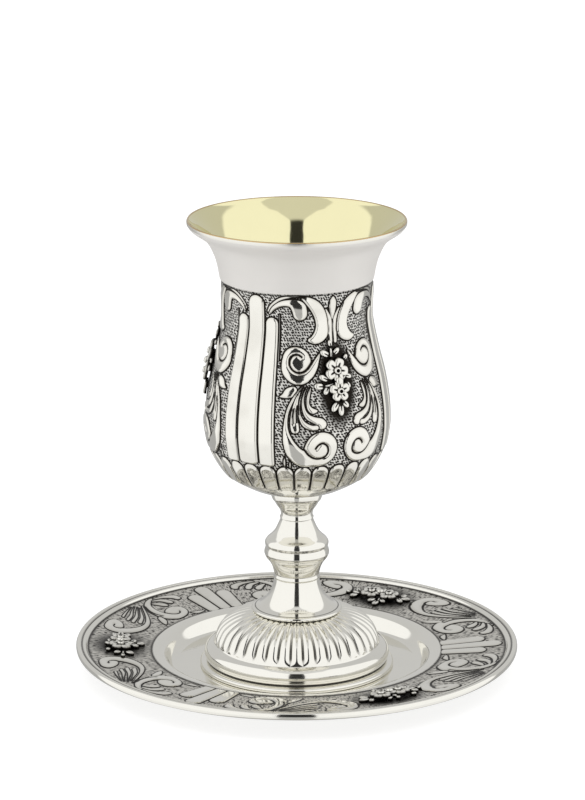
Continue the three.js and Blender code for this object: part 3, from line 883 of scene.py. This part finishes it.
class Metal:
    """Polished metal with a faint unevenness of colour, finish and surface."""

    def __init__(self, name, base, roughness=POLISHED):
        self.material = bpy.data.materials.new(name)
        self.material.use_nodes = True
        tree = self.material.node_tree
        tree.nodes.clear()
        self.kit = Nodes(tree)
        self.shader = self.kit.make("ShaderNodeBsdfPrincipled", Metallic=1.0)
        self.kit.make("ShaderNodeOutputMaterial", Surface=self.shader.outputs[0])
        self.place = self.kit.make("ShaderNodeTexCoord").outputs["Object"]
        cloud = self.noise(*CLOUDS)
        darker = tuple(TINT * part for part in base[:3]) + (1.0,)
        least, most = (roughness * part for part in ROUGHNESS_SPAN)
        self.set("Base Color", self.kit.mix(cloud, base, darker))
        self.set("Roughness", self.kit.blend(cloud, least, most))
        swell = self.noise(*SWELLS)
        bump = self.kit.make("ShaderNodeBump", Strength=0.3, Distance=SWELL_HEIGHT, Height=swell)
        self.set("Normal", bump.outputs[0])

    def set(self, name, value):
        self.kit.feed(self.shader.inputs[name], value)

    def now(self, name):
        """What feeds an input of the shader."""
        return self.shader.inputs[name].links[0].from_socket

    def noise(self, scale, detail):
        node = self.kit.make("ShaderNodeTexNoise", Scale=scale, Detail=detail, Vector=self.place)
        return node.outputs["Fac"]

    def blacken(self, part, roughness):
        """Paints black where part is 1: old silver's oxide in the chased lines, and painted shade in the
        foot's creases and folds, along the saucer lip's crease and in the cast flowers' recesses.
        """
        self.set("Base Color", self.kit.mix(part, self.now("Base Color"), OXIDE))
        self.set("Roughness", self.kit.blend(part, self.now("Roughness"), roughness))


def even_metal(name, base, roughness=POLISHED, metallic=1.0):
    """One metal all over."""
    metal = Metal(name, base, roughness)
    metal.set("Metallic", metallic)
    return metal.material


def crease_shaded_silver():
    """Polished silver with painted shade, black in the foot's creases and folds."""
    metal = Metal("silver with painted crease shade", SILVER)
    metal.blacken(metal.kit.attribute("crease"), 0.4)
    return metal.material


def cast_silver(name, black, lit_share):
    """Cast flowers: bright crests, and painted shade, black in the recesses, at the edges and between the
    parts.
    """
    metal = Metal(name, SILVER, 0.2)
    metal.blacken(metal.kit.rest(metal.kit.ramp(metal.kit.attribute("lit_share"), black, lit_share)), 0.5)
    return metal.material


# How dark the painted shade is beside a line and the tarnish in patches, how far the
# shade reaches from a line, and the patches' noise
SHADE_BESIDE_LINE = 0.22
TARNISH_PATCHES = 0.2
SHADE_REACH = 0.7
TARNISH_NOISE = (95.0, 4.0)
LINE_ROUGHNESS = 0.42
GROUND_EDGE = 0.15
PUNCH_DEPTH = 0.0002


def chased_silver(name, line_width, matting, pale):
    """Silver with dark lines round the pads, painted shade beside them, and a matted, darkened ground
    between them.
    """
    metal = Metal(name, SILVER)
    kit = metal.kit
    layers = [kit.attribute(key) for key in PAD_KEYS]
    depth = kit.math("MAXIMUM", kit.math("MAXIMUM", layers[0], layers[1]), layers[2])
    decor = kit.attribute("decor")
    line = kit.times(kit.rest(kit.ramp(depth, 0.5 * line_width, line_width)), decor)
    ground = kit.times(kit.rest(kit.ramp(depth, -line_width - GROUND_EDGE, -line_width)), decor)
    # Painted shade beside the lines, and tarnish in random patches, mixed towards one brownish colour
    shade_beside = kit.rest(kit.ramp(depth, line_width, line_width + SHADE_REACH))
    patches = kit.ramp(metal.noise(*TARNISH_NOISE), 0.45, 0.75)
    tarnish_and_shade = kit.add(kit.times(shade_beside, SHADE_BESIDE_LINE), kit.times(patches, TARNISH_PATCHES))
    metal.set("Base Color", kit.mix(kit.times(tarnish_and_shade, decor), metal.now("Base Color"), PATINA_AND_SHADE))
    metal.blacken(line, LINE_ROUGHNESS)
    mark = matting(kit, metal.place)
    matted = kit.mix(kit.attribute("halo"), kit.mix(mark, pale, MARK), OXIDE)
    metal.set("Base Color", kit.mix(ground, metal.now("Base Color"), matted))
    bump = kit.make("ShaderNodeBump", Strength=0.5, Distance=PUNCH_DEPTH, Normal=metal.now("Normal"))
    kit.feed(bump.inputs["Height"], kit.times(kit.rest(mark), ground))
    metal.set("Normal", bump.outputs[0])
    return metal.material


def round_the_axis(kit, place, per_turn, along, per_metre, slant):
    """A flat coordinate: marks counted round the axis, and rows counted outwards or upwards.
    Each row is set off from the last by slant of a mark."""
    x, y, z = kit.make("ShaderNodeSeparateXYZ", Vector=place).outputs
    radius = kit.math("SQRT", kit.add(kit.times(x, x), kit.times(y, y)))
    row = kit.times(radius if along == "outwards" else z, per_metre)
    mark = kit.times(kit.math("ARCTAN2", y, x), per_turn / (2 * math.pi))
    flat = kit.make("ShaderNodeCombineXYZ", X=kit.add(mark, kit.times(row, slant)), Y=row)
    return flat.outputs[0]


def punched(kit, place):
    """Rows of marks of a small round punch: 1 in the dark pits."""
    grid = round_the_axis(kit, place, per_turn=185, along="upwards", per_metre=1250.0, slant=0.5)
    grains = kit.make("ShaderNodeTexVoronoi", voronoi_dimensions="2D", Scale=1.0, Randomness=0.5,
                      Vector=grid)
    return kit.rest(kit.ramp(grains.outputs["Distance"], 0.33, 0.47))


def hatched(kit, place):
    """Short strokes that run outwards from the axis: 1 in the dark cuts."""
    grid = round_the_axis(kit, place, per_turn=690, along="outwards", per_metre=620.0, slant=0.0)
    grains = kit.make("ShaderNodeTexNoise", Scale=1.0, Detail=2.0, Vector=grid)
    return kit.ramp(grains.outputs["Fac"], 0.48, 0.64)


# Studio
FLOOR_HALF = 3.0


def floor_stage():
    """A white floor, which keeps a faint shadow and isn't reflected."""
    corners = [(x * FLOOR_HALF, y * FLOOR_HALF, 0) for x, y in ((-1, -1), (1, -1), (1, 1), (-1, 1))]
    mesh = bpy.data.meshes.new("floor")
    mesh.from_pydata(corners, [], [(0, 1, 2, 3)])
    floor = bpy.data.objects.new("floor", mesh)
    bpy.context.scene.collection.objects.link(floor)
    made = bpy.data.materials.new("floor")
    made.use_nodes = True
    shader = made.node_tree.nodes["Principled BSDF"]
    shader.inputs["Base Color"].default_value = (0.42, 0.42, 0.42, 1)
    shader.inputs["Roughness"].default_value = 0.9
    shader.inputs["Emission Color"].default_value = (1, 1, 1, 1)
    shader.inputs["Emission Strength"].default_value = 0.7
    mesh.materials.append(made)
    floor.visible_glossy = False


# The studio that the metal reflects, given by a direction's x, y and z. Two white panels
# lean over the cup from left and right, and leave a slot between them. The slot's half width
# in front and at its most, how fast it widens, and its flare straight in front
SLOT_HALF = 0.115
SLOT_MOST = 0.34
SLOT_SPREAD = 0.7
SLOT_FLARE = 0.055
# The panels' soft edge, where they end at the back, and how much sooner overhead
PANEL_SOFTNESS = 0.008
PANEL_BACK = (0.47, 0.53)
PANEL_LEAN = 0.43
# The slot is dark in front, down to a little below level
CAMERA_FRONT = (-0.46, -0.54)
CAMERA_FLOOR = (-0.37, -0.3)
SLOT_DARK = 0.035
# Two levels of a direction, and the strength of the light from each
PANEL_LIGHT = ((-0.62, -0.26), (0.95, 1.06))
SLOT_LIGHT = ((-0.5, 0.2), (0.5, 0.74))
WALL_LIGHT = ((-0.12, 0.1), (0.45, 0.62))


def slot_half_width(kit, y):
    """The slot widens from front to back, and a little again straight in front."""
    back = kit.math("MAXIMUM", kit.add(y, 0.5), 0.0)
    half = kit.math("MINIMUM", kit.add(kit.times(back, SLOT_SPREAD), SLOT_HALF), SLOT_MOST)
    return kit.add(half, kit.times(kit.ramp(y, -0.5, -1.0), SLOT_FLARE))


def light_at(kit, z, levels, strengths):
    """A light whose strength changes between two levels of a direction."""
    return kit.blend(kit.ramp(z, *levels), *strengths)


def studio_strength(kit, x, y, z):
    """The panels, the slot between them, which is dark where the camera stands, and a grey
    wall behind."""
    off_slot = kit.math("SUBTRACT", kit.math("ABSOLUTE", x), slot_half_width(kit, y))
    lean = kit.times(kit.math("POWER", kit.math("MAXIMUM", z, 0.0), 3.0), PANEL_LEAN)
    behind = kit.ramp(kit.add(y, lean), *PANEL_BACK)
    panel = kit.times(kit.ramp(off_slot, -PANEL_SOFTNESS, PANEL_SOFTNESS), kit.rest(behind))
    camera_side = kit.times(kit.ramp(y, *CAMERA_FRONT), kit.ramp(z, *CAMERA_FLOOR))
    slot = kit.blend(camera_side, light_at(kit, z, *SLOT_LIGHT), SLOT_DARK)
    unlit = kit.blend(behind, slot, light_at(kit, z, *WALL_LIGHT))
    return kit.blend(panel, unlit, light_at(kit, z, *PANEL_LIGHT))


def studio():
    """The world: the studio for reflections and light, and plain white for the camera."""
    world = bpy.data.worlds.new("studio")
    bpy.context.scene.world = world
    world.use_nodes = True
    world.node_tree.nodes.clear()
    kit = Nodes(world.node_tree)
    direction = kit.make("ShaderNodeTexCoord").outputs["Generated"]
    x, y, z = kit.make("ShaderNodeSeparateXYZ", Vector=direction).outputs
    strength = studio_strength(kit, x, y, z)
    grey = kit.make("ShaderNodeCombineColor", Red=strength, Green=strength, Blue=strength)
    reflected = kit.make("ShaderNodeBackground", Color=grey.outputs[0])
    white = kit.make("ShaderNodeBackground", Color=(1, 1, 1, 1), Strength=1.0)
    choose = kit.make("ShaderNodeMixShader", Fac=kit.make("ShaderNodeLightPath").outputs["Is Camera Ray"])
    kit.feed(choose.inputs[1], reflected.outputs[0])
    kit.feed(choose.inputs[2], white.outputs[0])
    kit.make("ShaderNodeOutputWorld", Surface=choose.outputs[0])


def overhead_light():
    """A broad soft light from straight above, for the floor and the dull recesses."""
    light = bpy.data.lights.new("overhead", "SUN")
    light.energy = 0.75
    light.angle = math.radians(70)
    lamp = bpy.data.objects.new("overhead", light)
    lamp.visible_glossy = False
    bpy.context.scene.collection.objects.link(lamp)


# The photograph was taken from in front and 15 degrees above, with a long lens
CAMERA_PLACE = (-0.0013, -1.0815, 0.3783)
CAMERA_PITCH = 15.18
FOCAL_PIXELS = 3700.8
PHOTO_HEIGHT = 800
SENSOR = 36.0


def camera():
    made = bpy.data.cameras.new("camera")
    made.sensor_fit = "VERTICAL"
    made.sensor_height = SENSOR
    made.lens = FOCAL_PIXELS / PHOTO_HEIGHT * SENSOR
    made.clip_start = 0.01
    eye = bpy.data.objects.new("camera", made)
    eye.location = CAMERA_PLACE
    eye.rotation_euler = (math.radians(90 - CAMERA_PITCH), 0, 0)
    bpy.context.scene.collection.objects.link(eye)
    bpy.context.scene.camera = eye


def dress(piece, slot, nodes, *materials):
    """Gives a piece its materials, and says what it rides on and which nodes it replaces."""
    for made in materials:
        piece.data.materials.append(made)
    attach(piece, "root")
    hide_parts(*nodes)


bpy.context.scene.view_settings.view_transform = "Standard"
camera()
studio()
floor_stage()
overhead_light()

# In the order of the bowl's material indexes
bowl_finishes = [
    chased_silver("chased bowl silver", 0.23, punched, BOWL_GROUND),
    even_metal("gilt", GILT, 0.07),
    even_metal("satin silver", SATIN, 0.5, metallic=0.3),
    # Browner gilt along the rim's top
    even_metal("brown gilt edge", BROWN_GILT, 0.07),
    even_metal("soft rim silver", SILVER, 0.32),
]
dress(bowl_piece(), "silver", ["bowl"], *bowl_finishes)
saucer_finish = chased_silver("chased saucer silver", 0.27, hatched, SAUCER_GROUND)
dress(saucer_piece(), "silver", ["saucer"], saucer_finish)
dress(stem_piece(), "silver", ["stem"], even_metal("polished silver", SILVER))
dress(foot_piece(), "silver", ["foot"], crease_shaded_silver())

bright_cast = cast_silver("cast silver", 0.3, 0.85)
# A copy of the cast silver with more painted shade
dark_cast = cast_silver("more shaded cast silver", 0.4, 1.0)
# The spray at the left of the bowl gets more painted shade, as all of the saucer's do
bowl_casts = [bright_cast, bright_cast, dark_cast]
for i in range(SECTORS):
    bowl_name = f"bowl_spray_{i + 1}"
    saucer_name = f"saucer_spray_{i + 1}"
    turn = SECTOR * i
    dress(spray_piece(bowl_name + "_cast", on_bowl(turn)), "cast_silver", [bowl_name], bowl_casts[i])
    dress(spray_piece(saucer_name + "_cast", on_saucer(turn)), "cast_silver", [saucer_name], dark_cast)
